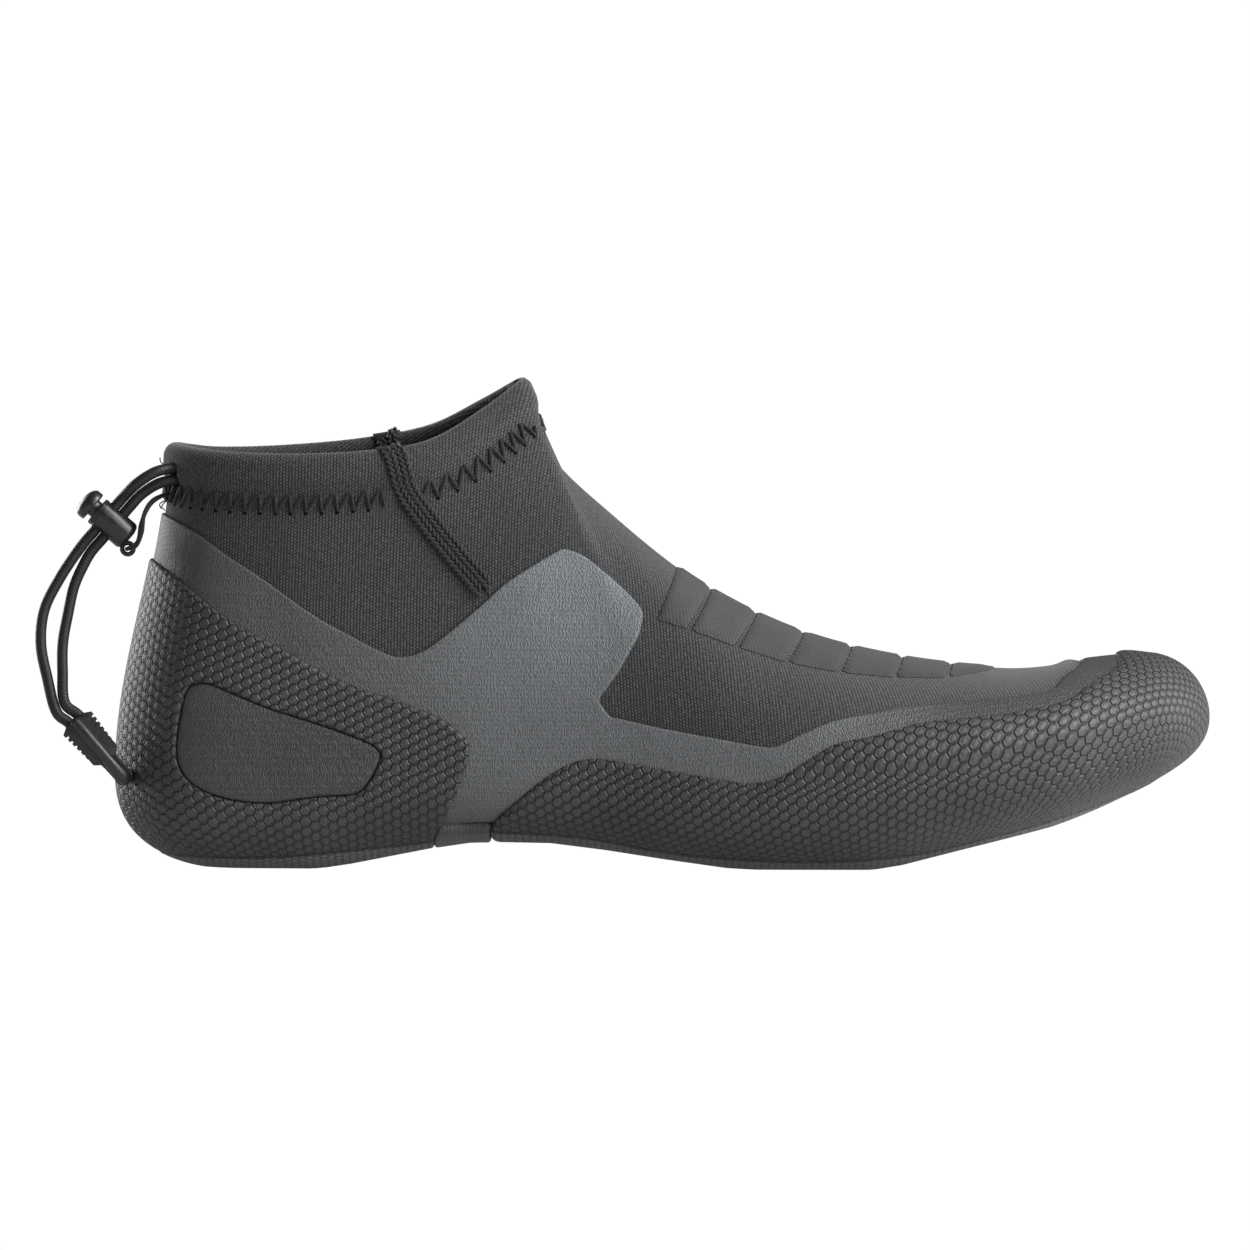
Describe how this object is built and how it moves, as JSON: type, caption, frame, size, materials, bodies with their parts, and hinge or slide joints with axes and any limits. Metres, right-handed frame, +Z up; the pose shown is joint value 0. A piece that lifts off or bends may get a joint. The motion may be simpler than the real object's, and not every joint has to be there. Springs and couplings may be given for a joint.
{
  "type": "neoprene water boot",
  "caption": "Low neoprene water boot, right foot, with rubber heel cup and toe cap, drawcord collar, cord lock and heel clip.",
  "frame": {"origin": "on the ground under the middle of the boot without its free cords, lock and clip", "axes": "+X towards the toe, +Z up, -Y towards the outer side of this right boot"},
  "size_m": [0.2994, 0.0988, 0.1255],
  "materials": {
    "neoprene": "matt knitted neoprene",
    "hem": "matt knitted neoprene, folded",
    "tape": "dark stitched tape",
    "overlay": "fine pebbled film, slight sheen",
    "rubber": "hexagon-textured, matt",
    "pad": "smooth matt",
    "board": "dark lining",
    "cord": "braided elastic, matt",
    "plastic": "satin moulded plastic",
    "steel": "bright wire"
  },
  "bodies": {
    "boot": {"quarter_panel": "neoprene", "vamp_panel": "neoprene", "collar_hem_rear": "hem", "collar_hem_front": "hem", "seam_tape_lateral": "tape", "seam_tape_medial": "tape", "overlay_lateral": "overlay", "overlay_medial": "overlay", "heel_outsole": "rubber", "heel_pad_lateral": "overlay", "heel_pad_medial": "overlay", "forefoot_outsole": "rubber", "arch_bridge": "overlay", "sole_board": "board", "footbed": "board", "instep_pad_1": "pad", "instep_pad_2": "pad", "instep_pad_3": "pad", "instep_pad_4": "pad", "instep_pad_5": "pad", "instep_pad_6": "pad", "instep_pad_7": "pad", "draw_cord_tunnel": "cord", "draw_cord_outer": "cord", "draw_cord_inner": "cord", "lock_tether": "cord"},
    "cord_lock": {"lock_barrel": "plastic", "lock_spring": "steel"},
    "lock_button": {"lock_plunger": "plastic"},
    "clip": {"clip_body": "plastic", "clip_cover_lateral": "plastic", "clip_cover_medial": "plastic"}
  },
  "joints": [
    {"name": "lock_slide", "type": "slide", "parent": "boot", "child": "cord_lock", "axis": [-0.65, 0, -0.76], "range_m": [-0.003, 0.006], "deforming": ["draw_cord_outer", "draw_cord_inner", "lock_tether"]},
    {"name": "button_press", "type": "slide", "parent": "cord_lock", "child": "lock_button", "axis": [0.76, 0, -0.65], "range_m": [0, 0.001], "stiffness_N_per_m": 600, "deforming": ["lock_spring"]},
    {"name": "clip_swing", "type": "hinge", "parent": "boot", "child": "clip", "pos_m": [-0.13692, -0.0203, 0.0238], "axis": [0, 1, 0], "range_deg": [-20, 6], "stiffness_Nm_per_rad": 0.01, "deforming": ["draw_cord_outer", "draw_cord_inner"]}
  ]
}
